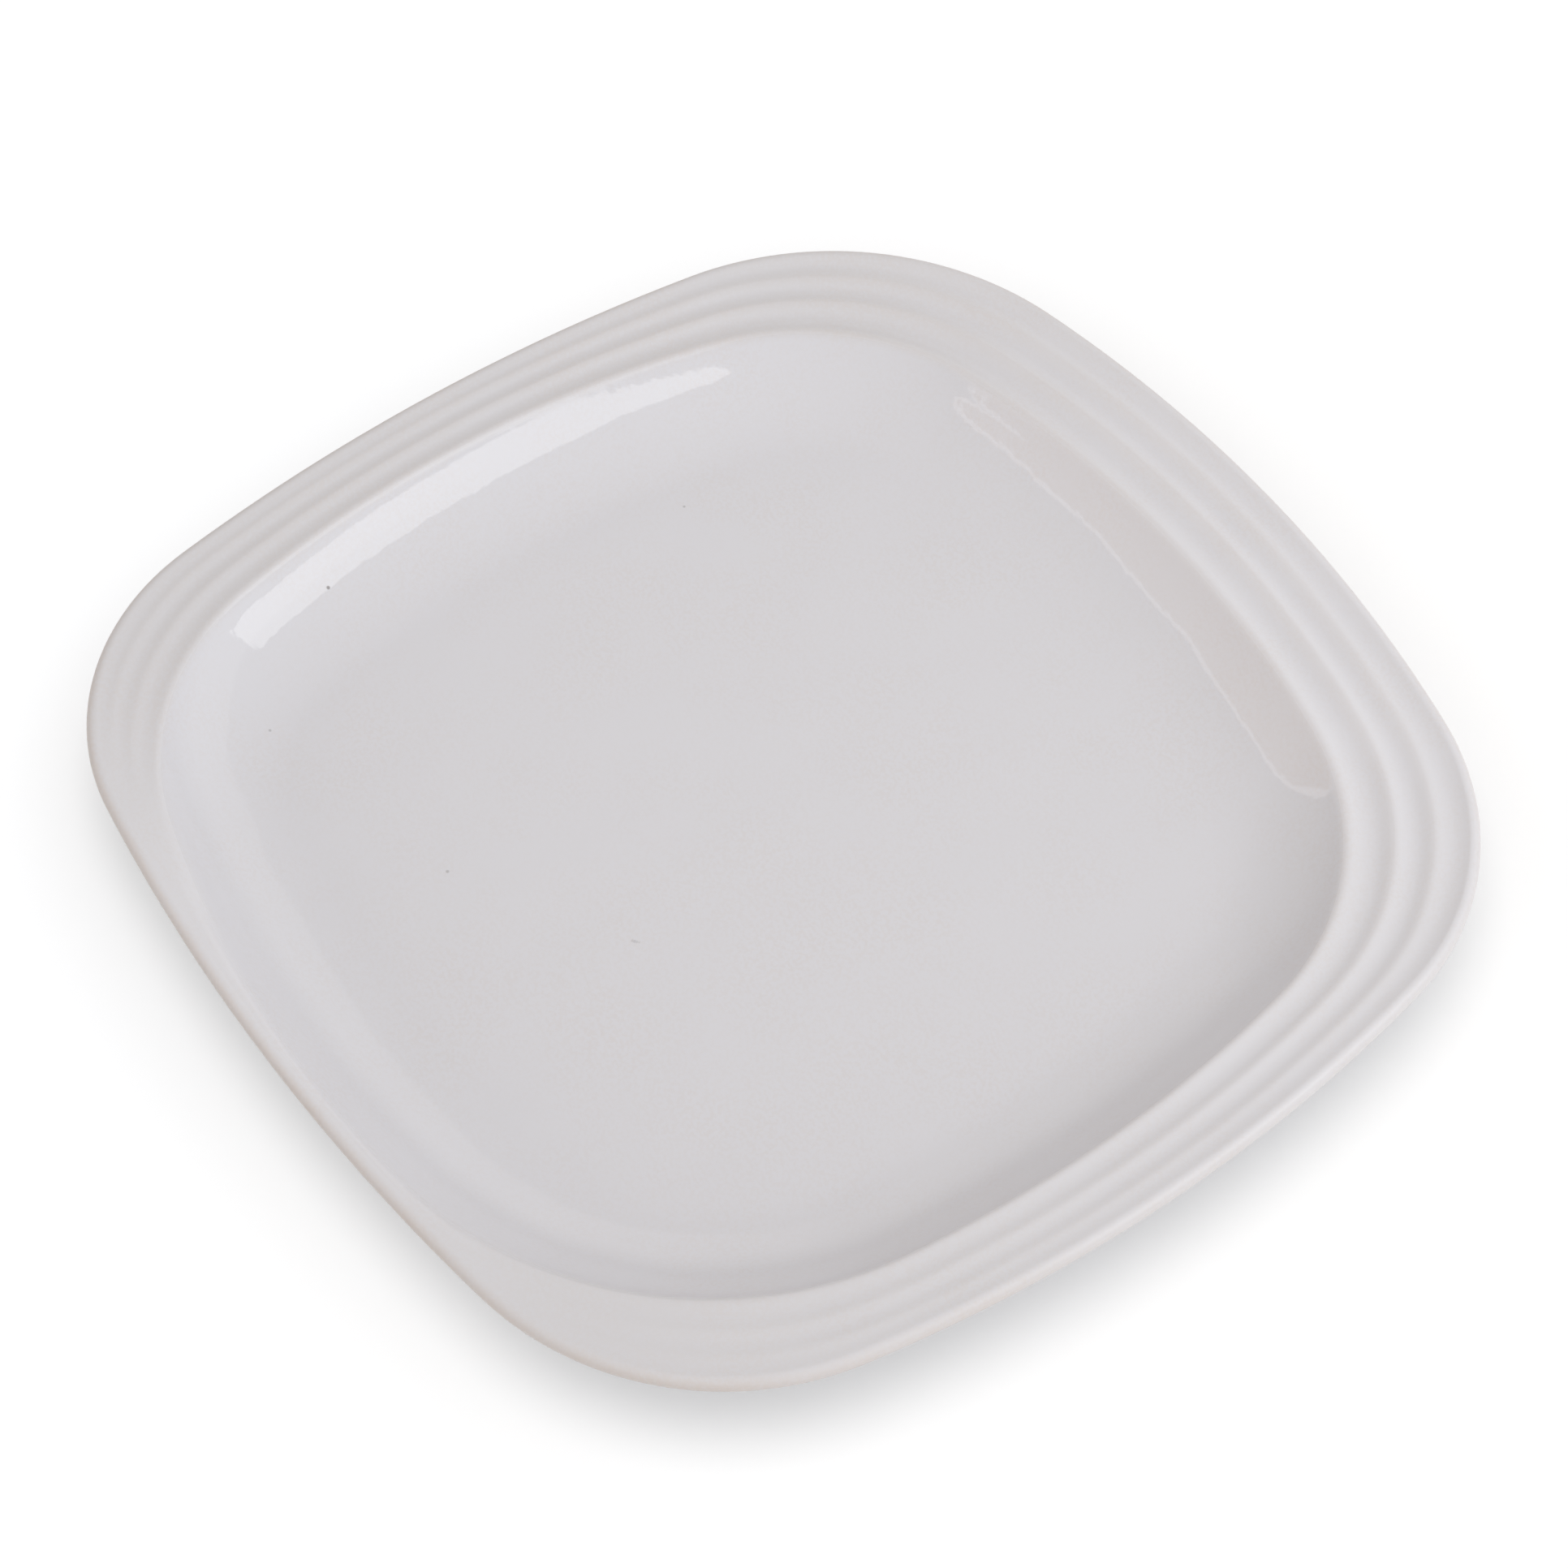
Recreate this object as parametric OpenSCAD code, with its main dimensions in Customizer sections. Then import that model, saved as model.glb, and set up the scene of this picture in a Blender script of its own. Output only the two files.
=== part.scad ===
// Square dinner plate in glazed stoneware.
// The outline is a soft square of eight arcs, each side and each corner with its own radius.
// Three flutes run round the rim. They are broad along the back and narrow to
// almost nothing along the front, because the well sits nearer to the front edge.
// The plate stands on the XY plane with its middle over the origin. +Y is the back.

/* [Plate] */
// Width across the flats, from lip to lip
plate_w = 270; // [240:1:300]
// Height from the table to the top of the lip
plate_h = 24; // [21:0.5:28]
// Height of the floor of the well above the table
floor_h = 7.5; // [6.5:0.1:9]
// Thickness of the coat of glaze
glaze_t = 0.5; // [0.3:0.05:0.7]

/* [Outline] */
// Radius of the bow along the right side
right_bow_r = 375; // [330:5:500]
// Radius of the bow along the back
back_bow_r = 330; // [300:5:500]
// Radius of the bow along the left side
left_bow_r = 450; // [400:5:600]
// Radius of the bow along the front
front_bow_r = 510; // [400:5:600]
// How far to the left of the middle the bow along the front stands out furthest
front_bow_shift = 18; // [0:1:25]
// Radius of the back right corner
back_right_r = 67; // [62:1:80]
// Radius of the back left corner
back_left_r = 78; // [70:1:86]
// Radius of the front left corner
front_left_r = 60; // [54:1:66]
// Radius of the front right corner
front_right_r = 70; // [60:1:76]

/* [Rim] */
// Radius of the rounded lip
lip_r = 2.2; // [1.8:0.1:2.6]
// Width of the fluted band along the right side, from the lip to the edge of the well
band_right_w = 15.2; // [10:0.1:20]
// Width of the fluted band along the back
band_back_w = 23.4; // [16:0.1:26]
// Width of the fluted band along the left side
band_left_w = 14.1; // [9:0.1:18]
// Width of the fluted band along the front, where the flutes run out
band_front_w = 1.9; // [1.6:0.1:6]

/* [Well] */
// Run of the curved wall, from the edge of the well to its flat floor
wall_run = 28; // [22:0.5:30]
// Steepest lean of the wall, at the edge of the well
wall_lean = 50; // [42:1:56]

/* [Foot] */
// Height of the recess inside the foot ring
foot_h = 2.5; // [2:0.1:3]
// Width of the flat face that the foot ring stands on
foot_w = 3.2; // [2.5:0.1:4.5]
// Step from the edge of the floor in to the outside of the foot ring
foot_step = 1.5; // [1:0.1:3]
// Chamfer on both edges of the foot ring
foot_chamfer = 0.6; // [0.4:0.1:0.8]
// Height above the table where the glaze stops on the foot ring
glaze_line_h = 1.4; // [1.1:0.1:1.6]

/* [Hidden] */

// Where the crests between the flutes lie, as shares of the way from the edge of the plate
// to the edge of the well, and the least share of the fluted band that they keep to
crest_shares = [0, 0.36, 0.65, 1];
least_band_shares = [0, 0.18, 0.48, 1];
// Fall of the band towards the well and depth of a flute, as shares of their local width
fall_share = 0.1;
flute_depth_share = 0.16;
// How far the hollow of a flute leans out: at 0 it is deepest halfway, at 1 a third of the way in
hollow_skew_share = 1.2;
// Bow and corner radii of the well, as shares of the same radii of the outline
well_bow_shares = [0.81, 0.81, 0.62, 0.51];
well_corner_shares = [1, 0.8, 1.04, 1.28];
// Places across the underside of the rim, and its rise, as shares of its local width
under_rim_shares = [0.35, 0.7];
under_rise_share = 0.06;
// Places across a flute and down the wall
flute_shares = [0.2, 0.4, 0.7];
wall_shares = [0.86, 0.72, 0.57, 0.42, 0.26, 0.12, 0];
under_wall_shares = [0, 0.26, 0.51, 0.76];

// Headings round the lip's bead, from under it to the line where the flutes start
lip_headings = [-90, -45, 0, 45, 90];
lip_inner_heading = 110;

// Stops round every outline, and the turn that draws them together at the corners
stop_count = 72;
corner_pull = 5.7;

plate_t = floor_h - foot_h;
lip_inner_w = lip_r * (1 - cos(lip_inner_heading));
foot_outer_in = wall_run + foot_step;
foot_inner_in = foot_outer_in + glaze_t + 2 * foot_chamfer + foot_w;

// Directions of the four sides: right, back, left, front. Corner k follows side k.
SIDES = [[1, 0], [0, 1], [-1, 0], [0, -1]];

rim_bows = [right_bow_r, back_bow_r, left_bow_r, front_bow_r];
rim_corners = [back_right_r, back_left_r, front_left_r, front_right_r];
edge_in = [for (w = [band_right_w, band_back_w, band_left_w, band_front_w]) w + lip_inner_w];
well_half = [plate_w - edge_in[0] - edge_in[2], plate_w - edge_in[1] - edge_in[3]] / 2;
well_middle = [edge_in[2] - edge_in[0], edge_in[3] - edge_in[1]] / 2;

// An outline is its half sizes, its middle, its bow radii, its corner radii, and the shift of
// each bow against the turn of the outline
rim = [[plate_w / 2, plate_w / 2], [0, 0], rim_bows, rim_corners, [0, 0, 0, front_bow_shift]];
well = [
    well_half,
    well_middle,
    scaled(rim_bows, well_bow_shares),
    scaled(rim_corners, well_corner_shares),
    [0, 0, 0, 0]
];

function scaled(sizes, shares) = [for (k = [0:3]) sizes[k] * shares[k]];
function next(k) = (k + 1) % 4;
function unit(angle) = [cos(angle), sin(angle)];
function heading(v) = atan2(v[1], v[0]);
function mix(a, b, share) = a + (b - a) * share;
function flat(p) = [p[0], p[1]];

// Heading of v, turned by whole turns to lie within half a turn of another heading
function heading_near(v, other) = other + (heading(v) - other + 540) % 360 - 180;

// Where two circles cross, on the side that lies further out
function crossing(a, ra, b, rb, out) =
    let (
        span = norm(b - a),
        along = (b - a) / span,
        reach = (ra * ra - rb * rb + span * span) / (2 * span),
        rise = sqrt(max(0, ra * ra - reach * reach)),
        p = a + along * reach + [-along[1], along[0]] * rise,
        q = a + along * reach - [-along[1], along[0]] * rise
    )
    (p - q) * out > 0 ? p : q;

function bow_centre(o, k) =
    o[1] + SIDES[k] * (o[0][k % 2] - o[2][k]) - SIDES[next(k)] * o[4][k];
function corner_centre(o, k) =
    crossing(
        bow_centre(o, k), o[2][k] - o[3][k],
        bow_centre(o, next(k)), o[2][next(k)] - o[3][k],
        SIDES[k] + SIDES[next(k)]
    );

// Arc of an outline that a ray from the origin meets: its centre, its radius, and the heading
// of the point from its centre. All outlines share these rays, so their stops lie abreast.
function ray_stop(centre, radius, angle) =
    let (
        abreast = unit(angle) * centre,
        reach = abreast + sqrt(max(0, radius * radius - centre * centre + abreast * abreast))
    )
    [centre, radius, heading_near(unit(angle) * reach - centre, angle)];
function stop(o, angle) =
    let (
        k = floor((angle + 45) / 90) % 4,
        before = (k + 3) % 4,
        bow = bow_centre(o, k),
        on_bow = ray_stop(bow, o[2][k], angle),
        from = heading_near(corner_centre(o, before) - bow, angle),
        to = heading_near(corner_centre(o, k) - bow, angle)
    )
    on_bow[2] < from ? ray_stop(corner_centre(o, before), o[3][before], angle)
    : on_bow[2] > to ? ray_stop(corner_centre(o, k), o[3][k], angle)
    : on_bow;
function stops(o) = [
    for (i = [0:stop_count - 1])
        let (turn = 360 * i / stop_count)
        stop(o, turn + corner_pull * sin(4 * turn))
];

rim_stops = stops(rim);
well_stops = stops(well);

// A ring is one point for each stop, drawn in from its outline by a set distance
function place(stop, inset) = stop[0] + unit(stop[2]) * (stop[1] - inset);
function level_ring(list, inset, z) = [for (s = list) [each place(s, inset), z]];

// Lip: a bead whose section is a circle. Depth is how far below the finished face a ring lies.
function lip_ring(turn, depth) =
    level_ring(
        rim_stops,
        lip_r - (lip_r - depth) * cos(turn),
        plate_h - lip_r + (lip_r - depth) * sin(turn)
    );

// Width of the fluted band at each stop, square to the lip, and the height of the edge of the
// well: the band falls from the lip to the well
lip_line = lip_ring(lip_inner_heading, 0);
band_w = [
    for (i = [0:stop_count - 1])
        (flat(lip_line[i]) - place(well_stops[i], 0)) * unit(rim_stops[i][2])
];
edge_z = [for (i = [0:stop_count - 1]) lip_line[i][2] - fall_share * band_w[i]];

// Wall of the well: an arc that eases from its lean at the edge, share 1, to the floor, share 0
function wall_ring(share, depth) =
    let (
        lean = wall_lean * share,
        inset = wall_run * (1 - sin(lean) / sin(wall_lean)) - depth * sin(lean),
        climb = (1 - cos(lean)) / (1 - cos(wall_lean))
    )
    [
        for (i = [0:stop_count - 1])
            [each place(well_stops[i], inset), mix(floor_h, edge_z[i], climb) - depth * cos(lean)]
    ];

// Ring between two rings, moved up by a bow whose top at each stop is the lift there. A skew
// draws the top of the bow towards the first ring.
function bent_ring(a, b, share, lifts, skew = 0) =
    let (drawn = share * (1 + skew) / (1 + share * skew), bow = 4 * drawn * (1 - drawn))
    [for (i = [0:stop_count - 1]) mix(a[i], b[i], share) + [0, 0, bow * lifts[i]]];

// Flutes: the band has a crest at each of these shares of its local width and a hollow between
function band_share(k, i) =
    max(
        least_band_shares[k],
        (crest_shares[k] * (band_w[i] + lip_inner_w) - lip_inner_w) / band_w[i]
    );
function crest_ring(k, depth) =
    let (outer = lip_ring(lip_inner_heading, depth), inner = wall_ring(1, depth))
    [for (i = [0:stop_count - 1]) mix(outer[i], inner[i], band_share(k, i))];
function flute_depths(k) = [
    for (i = [0:stop_count - 1])
        flute_depth_share * band_w[i] * (band_share(k + 1, i) - band_share(k, i))
];
function flute_rings(k, depth) =
    let (outer = crest_ring(k, depth), inner = crest_ring(k + 1, depth))
    concat(
        [for (s = flute_shares) bent_ring(outer, inner, s, -flute_depths(k), hollow_skew_share)],
        [inner]
    );

// Underside from the foot ring out to the lip
function under_rings(depth) =
    let (
        shoulder = wall_ring(under_wall_shares[len(under_wall_shares) - 1], plate_t - depth),
        bead = lip_ring(lip_headings[0], depth),
        lifts = [for (i = [0:stop_count - 1]) under_rise_share * norm(flat(bead[i]) - flat(shoulder[i]))]
    )
    concat(
        [level_ring(well_stops, foot_outer_in + depth, glaze_line_h)],
        [for (s = under_wall_shares) wall_ring(s, plate_t - depth)],
        [for (s = under_rim_shares) bent_ring(shoulder, bead, s, lifts)]
    );

// The whole coated face at a depth: up the outside, over the lip and flutes, down to the floor
function face_rings(depth) =
    concat(
        under_rings(depth),
        [for (turn = concat(lip_headings, [lip_inner_heading])) lip_ring(turn, depth)],
        [for (k = [0:2]) each flute_rings(k, depth)],
        [for (s = wall_shares) wall_ring(s, depth)]
    );

function middle_at(z) = [well_middle[0], well_middle[1], z];
function reversed(list) = [for (i = [len(list) - 1:-1:0]) list[i]];

// Skin over a list of rings, closed by a point at each end. The solid lies to the left of the
// section as it runs out from the first point, up, and back in to the last.
module skin(first, rings, last) {
    n = stop_count;
    top = len(rings) * n + 1;
    start_fan = [for (i = [0:n - 1]) [0, 1 + i, 1 + (i + 1) % n]];
    bands = [
        for (j = [0:len(rings) - 2], i = [0:n - 1])
            let (a = 1 + j * n + i, b = 1 + j * n + (i + 1) % n)
            each [[a, a + n, b], [b, a + n, b + n]]
    ];
    end_fan = [for (i = [0:n - 1]) [top, top - n + (i + 1) % n, top - n + i]];
    polyhedron(
        points = concat([first], [for (ring = rings) each ring], [last]),
        faces = concat(start_fan, bands, end_fan)
    );
}

// Pressed clay body with its bare foot ring
module stoneware_body() {
    recess_z = foot_h + glaze_t;
    foot_outer = foot_outer_in + glaze_t;
    foot_rings = [
        level_ring(well_stops, foot_inner_in, recess_z),
        level_ring(well_stops, foot_inner_in, foot_chamfer),
        level_ring(well_stops, foot_inner_in - foot_chamfer, 0),
        level_ring(well_stops, foot_outer + foot_chamfer, 0),
        level_ring(well_stops, foot_outer, foot_chamfer)
    ];
    color([0.79, 0.74, 0.67])
        skin(middle_at(recess_z), concat(foot_rings, face_rings(glaze_t)), middle_at(floor_h - glaze_t));
}

// Coat of glaze over the well, the rim and the outside, down to the foot ring
module face_glaze() {
    color([0.87, 0.86, 0.85])
        skin(
            middle_at(floor_h - glaze_t),
            concat(reversed(face_rings(glaze_t)), face_rings(0)),
            middle_at(floor_h)
        );
}

// Patch of glaze in the recess inside the foot ring
module base_glaze() {
    color([0.85, 0.84, 0.82])
        skin(
            middle_at(foot_h),
            [
                level_ring(well_stops, foot_inner_in, foot_h),
                level_ring(well_stops, foot_inner_in, foot_h + glaze_t)
            ],
            middle_at(foot_h + glaze_t)
        );
}

stoneware_body();
face_glaze();
base_glaze();
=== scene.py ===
import math

import bpy
import numpy as np
from bpy.props import FloatProperty, FloatVectorProperty, PointerProperty
from mathutils import Matrix, Vector


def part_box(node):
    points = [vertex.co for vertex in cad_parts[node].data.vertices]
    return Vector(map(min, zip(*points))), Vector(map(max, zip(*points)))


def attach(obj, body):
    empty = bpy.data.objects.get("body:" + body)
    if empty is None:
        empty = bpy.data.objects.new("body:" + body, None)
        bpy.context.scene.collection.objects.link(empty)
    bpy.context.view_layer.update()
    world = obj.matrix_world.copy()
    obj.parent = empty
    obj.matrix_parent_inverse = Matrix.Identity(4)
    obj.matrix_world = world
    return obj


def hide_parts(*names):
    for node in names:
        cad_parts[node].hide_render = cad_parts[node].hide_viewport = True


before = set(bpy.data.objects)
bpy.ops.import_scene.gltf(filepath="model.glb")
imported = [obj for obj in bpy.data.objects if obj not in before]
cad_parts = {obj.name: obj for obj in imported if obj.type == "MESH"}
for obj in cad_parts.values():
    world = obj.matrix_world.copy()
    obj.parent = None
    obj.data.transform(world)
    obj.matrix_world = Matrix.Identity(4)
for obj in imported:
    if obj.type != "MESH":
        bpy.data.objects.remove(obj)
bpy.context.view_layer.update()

bl_info = {
    "name": "Square dinner plate",
    "version": (1, 0, 0),
    "blender": (4, 5, 0),
    "location": "3D View > Sidebar > Plate",
    "description": "Builds a square stoneware plate with three soft flutes, its glaze and its studio",
    "category": "Add Mesh",
}

BODY = "root"
NODE_OF = {"glaze_coat": "face_glaze", "clay_body": "stoneware_body", "recess_glaze": "base_glaze"}

# Directions of the four sides: right, back, left, front. Corner k follows side k.
SIDES = np.array([[1.0, 0.0], [0.0, 1.0], [-1.0, 0.0], [0.0, -1.0]])

# Crests of the flutes, as shares of the way from the lip to the well, and how far the rim falls on it
CREST_SHARES = (0.0, 0.36, 0.65, 1.0)
LEAST_BAND_SHARES = (0.0, 0.18, 0.48, 1.0)
FLUTES = len(CREST_SHARES) - 1
FALL_SHARE = 0.1

# Hollows of the flutes: depth as a share of their width, the turn where they are deepest, and their lean
FLUTE_DEPTH_SHARE = 0.25
FLUTE_FADE = 0.6
FLUTE_DEEPEST = 105
OUTER_FLUTE_SHARE = 0.75
HOLLOW_SKEW_SHARE = 0.6

# How the well differs from the outline, and the form of the underside and the lip
WELL_BOW_SHARES = (0.81, 0.81, 0.62, 0.51)
WELL_CORNER_SHARES = (1.0, 0.8, 1.04, 1.28)
UNDER_WALL_SHARE = 0.76
UNDER_RISE_SHARE = 0.06
LIP_INNER_HEADING = 110
CORNER_PULL = 5.7

# How finely the surfaces are divided
STOPS = 360
LIP_STEPS = 26
FLUTE_STEPS = 14
WALL_STEPS = 44
FLOOR_STEPS = 26
FLOOR_JOIN_STEPS = 5
FLOOR_JOIN_SHARE = 0.93
UNDER_WALL_STEPS = 16
UNDER_RIM_STEPS = 14
HIDDEN_WALL_STEPS = 8
HIDDEN_RIM_SHARES = (0.35, 0.7)
FOOT_EDGE_STEPS = 7
FOOT_FACE_SHARES = (0.25, 0.5, 0.75)
RECESS_SHARES = (0.25, 0.5, 0.7, 0.85, 0.93, 0.97, 1.0)
TABLE_STEPS = 8

# How softly the crests are rounded, and how that starts at the lip and ends on the floor
ROUNDING_SHARE = 0.13
RUN_OUT_ROUNDING = 0.0028
RUN_OUT_FLUTE_W = 0.0016
RUN_OUT_SPREAD = 0.0022
LIP_ROUNDING = 0.0007
LIP_ROUNDING_GROWTH = 0.45
LEAST_ROUNDING = 0.00002
FLOOR_ROUNDING_PARTS = 3

# Slight unevenness of the face: waves laid over each other
WAVE_SEED = 7
WAVE_COUNT = 9
WAVE_LENGTHS = (0.020, 0.055)
WAVE_SLOPE = 0.0045

# Ripples of the glaze line on the foot: height, number round the plate and phase
GLAZE_LINE_RIPPLES = ((0.00012, 9, 0.0), (0.00008, 23, 1.0))

# Radii at which a crest counts as wholly thin and a hollow as wholly pooled
THIN_BEND_R = 0.0011
POOLED_BEND_R = 0.0022

# How much of the thin glaze's tint the crests show, next to the outside of the lip
CREST_THIN_SHARE = 0.24

# Where the satin coat of the rim is painted paler, as painted light on those turns of the rim: the turn, how much,
# and how narrowly
PAINTED_LIGHT_SATIN = ((65, 1.0, 2), (-15, 0.6, 4), (-95, 0.95, 8))

# How the satin coat ends over the first rings of the wall
SATIN_FADE = ((0.8,), (0.4,), (0.1,))

# Brown line of thin glaze round the lip: its strength, its height on the bead, and where it is painted paler, as
# painted light on the side of the lip that the lamps light
LIP_THIN = 0.72
LIP_THIN_HEADING = 10
LIP_PAINTED_LIGHT = 0.7
LIP_PAINTED_LIGHT_AT = 20

# Strength of the mottle and height of the bumps, on the coat and in the recess
# The Thick mask carries painted light: it makes the rim's satin paler on some turns
COAT_MASKS = ("Thin", "Pooled", "Satin", "Thick")
COAT_MOTTLE = 0.18
COAT_BUMP_H = 0.00004
RECESS_MOTTLE = 0.16
RECESS_BUMP_H = 0.00008

# Noises of the finishes: scale, detail and roughness
GLAZE_PATCHES = (38.0, 4.0, 0.6)
GLAZE_GRAIN = (1100.0, 2.0, 0.6)
GLAZE_PEEL = (260.0, 2.0, 0.45)
GLAZE_SWELL = (45.0, 2.0, 0.5)
CLAY_BLOTCH = (70.0, 5.0, 0.6)
CLAY_SAND = (1400.0, 3.0, 0.7)
CLAY_GRIT = (520.0, 2.0, 0.5)
CLAY_BUMP_H = 0.0002
CLAY_BUMP = 0.8

# Gloss of the glaze: its roughness from patch to patch, what satin adds, and its refraction
GLAZE_ROUGHNESS = (0.03, 0.07)
SATIN_ROUGHNESS = 0.3
GLAZE_IOR = 1.5

# Scattered specks: how closely their cells lie, their size in a cell, how rare and how strong they are
SPECK_CELLS = 62.0
SPECK_DOT = (0.012, 0.022)
SPECK_RARE = 0.93
SPECK_STRENGTH = 0.35

# Iron specks in the glaze: centre, radius and strength
IRON_SPECKS = (
    ((-0.1052, -0.0581, 0.0139), 0.00055, 0.8),
    ((-0.0817, 0.0266, 0.0075), 0.00045, 0.35),
    ((-0.0815, -0.0884, 0.0083), 0.00045, 0.35),
    ((-0.0261, -0.0751, 0.0075), 0.00050, 0.35),
    ((0.0126, -0.0513, 0.0075), 0.00045, 0.2),
    ((0.0130, -0.0510, 0.0075), 0.00050, 0.25),
    ((0.0134, -0.0507, 0.0075), 0.00045, 0.2),
    ((0.0138, -0.0503, 0.0075), 0.00035, 0.15),
)

# Lamps and card: place, size and brightness. They all face the middle of the plate.
MIDDLE = (0.0, 0.0, 0.0)
KEY_TINT = (0.98, 1.0, 1.015)
SOFTBOX_AT = (1.355, 0.803, 1.325)
SOFTBOX_SIZE = (1.248, 0.883)
SPILL_AT = (0.204, 0.284, 0.600)
SPILL_SIZE = (0.30, 0.30)
SPILL_RADIANCE = 1.95
OVERHEAD_SPREAD = math.radians(47)
OVERHEAD_ENERGY = 0.985
OVERHEAD_TILT = (math.radians(2.5), math.radians(-3.0), 0.0)
CARD_AT = (-0.648, -0.839, 0.563)
CARD_OUTLINE = (
    (-0.56, -0.42), (-0.50, -0.10), (-0.43, 0.20), (-0.36, 0.42), (-0.26, 0.52), (-0.06, 0.50), (0.12, 0.48),
    (0.28, 0.43), (0.37, 0.32), (0.31, 0.20), (0.42, 0.14), (0.44, -0.42),
)
CARD_EDGE_W = 0.05
CARD_LIGHT = (1.11, 1.10, 1.08)
CARD_MIRRORED = (1.37, 1.09, 0.87)
CARD_EDGE_MIRRORED = (2.3, 2.2, 2.2)

# Light of the room: its tint, and how it differs by direction and up to the windows
ROOM_TINT = (1.03, 1.0, 0.97)
ROOM_RIGHT = (0.258, 0.285, 0.308)
ROOM_BACK = (-0.062, -0.045, -0.028)
ROOM_ACROSS = (0.62, 0.62, 0.62)
HORIZON_GLOW = 0.65
HORIZON_TOP = 0.35
WINDOW_TOP = 0.64
WINDOW_BLUR = 0.015
WINDOW_BACK = (0.2, 0.45)
WINDOW_GLOW = 0.5

# Table: how far it lies under the foot, its whites by direction, the painted light and shade by direction in the
# light it throws on the plate, and the clear part under the recess
TABLE_HALF_W = 3.0
TABLE_GAP = 0.00005
TABLE_GLOW = 0.20
# Painted light on the table for the light it throws on the plate: painted shade on the side away from the lamps,
# painted light on the side towards them
TABLE_PAINTED_LIGHT_SIDE = (0.87, 0.5, 0.0)
TABLE_PAINTED_SHADE = (0.22, 0.20, 0.18)
TABLE_PAINTED_LIGHT = (0.85, 0.84, 0.83)
# The whites are tinted by side to cancel the tint that the room light leaves in the plate's shadow
PAPER_LEFT = (0.779, 0.800, 0.827)
PAPER_RIGHT = (0.789, 0.800, 0.812)
RECESS_MIDDLE = (-0.0006, -0.0108, 0.0)
RECESS_LIT_W = 0.0865

# Camera: width of its sensor, and side of the square photo in pixels
SENSOR_W = 36.0
PHOTO_SIDE = 1932


class PlateSizes(bpy.types.PropertyGroup):
    plate_w: FloatProperty(name="Width", description="Width across the flats", default=0.270, unit="LENGTH")
    plate_h: FloatProperty(name="Height", description="Height of the lip", default=0.024, unit="LENGTH")
    floor_h: FloatProperty(
        name="Floor", description="Height of the floor of the well", default=0.0075, unit="LENGTH",
    )
    glaze_t: FloatProperty(
        name="Glaze", description="Thickness of the coat of glaze", default=0.0005, unit="LENGTH",
    )
    lip_r: FloatProperty(name="Lip", description="Radius of the rounded lip", default=0.0022, unit="LENGTH")
    right_bow_r: FloatProperty(
        name="Right bow", description="Radius of the bow at the right", default=0.375, unit="LENGTH",
    )
    back_bow_r: FloatProperty(
        name="Back bow", description="Radius of the bow at the back", default=0.330, unit="LENGTH",
    )
    left_bow_r: FloatProperty(
        name="Left bow", description="Radius of the bow at the left", default=0.450, unit="LENGTH",
    )
    front_bow_r: FloatProperty(
        name="Front bow", description="Radius of the bow at the front", default=0.510, unit="LENGTH",
    )
    front_bow_shift: FloatProperty(
        name="Front shift", description="How far left of the middle the front stands out furthest",
        default=0.018, unit="LENGTH",
    )
    back_right_r: FloatProperty(
        name="Back right", description="Radius of the corner", default=0.067, unit="LENGTH",
    )
    back_left_r: FloatProperty(name="Back left", description="Radius of the corner", default=0.078, unit="LENGTH")
    front_left_r: FloatProperty(
        name="Front left", description="Radius of the corner", default=0.060, unit="LENGTH",
    )
    front_right_r: FloatProperty(
        name="Front right", description="Radius of the corner", default=0.070, unit="LENGTH",
    )
    band_right_w: FloatProperty(
        name="Right band", description="Width of the flutes, right", default=0.0152, unit="LENGTH",
    )
    band_back_w: FloatProperty(
        name="Back band", description="Width of the flutes, back", default=0.0234, unit="LENGTH",
    )
    band_left_w: FloatProperty(
        name="Left band", description="Width of the flutes, left", default=0.0141, unit="LENGTH",
    )
    band_front_w: FloatProperty(
        name="Front band", description="Width of the flutes, front", default=0.0019, unit="LENGTH",
    )
    wall_run: FloatProperty(
        name="Wall run", description="Run of the wall of the well", default=0.028, unit="LENGTH",
    )
    wall_lean: FloatProperty(
        name="Wall lean", description="Steepest lean of the wall", default=math.radians(50), subtype="ANGLE",
    )
    foot_h: FloatProperty(
        name="Recess", description="Height of the recess in the foot", default=0.0025, unit="LENGTH",
    )
    foot_w: FloatProperty(
        name="Foot", description="Width of the bare face of the foot", default=0.0032, unit="LENGTH",
    )
    foot_step: FloatProperty(
        name="Foot step", description="Step in to the foot ring", default=0.0015, unit="LENGTH",
    )
    foot_chamfer: FloatProperty(
        name="Foot edge", description="Edge of the foot ring", default=0.0006, unit="LENGTH",
    )
    glaze_line_h: FloatProperty(
        name="Glaze line", description="Where the glaze stops", default=0.0014, unit="LENGTH",
    )


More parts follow.
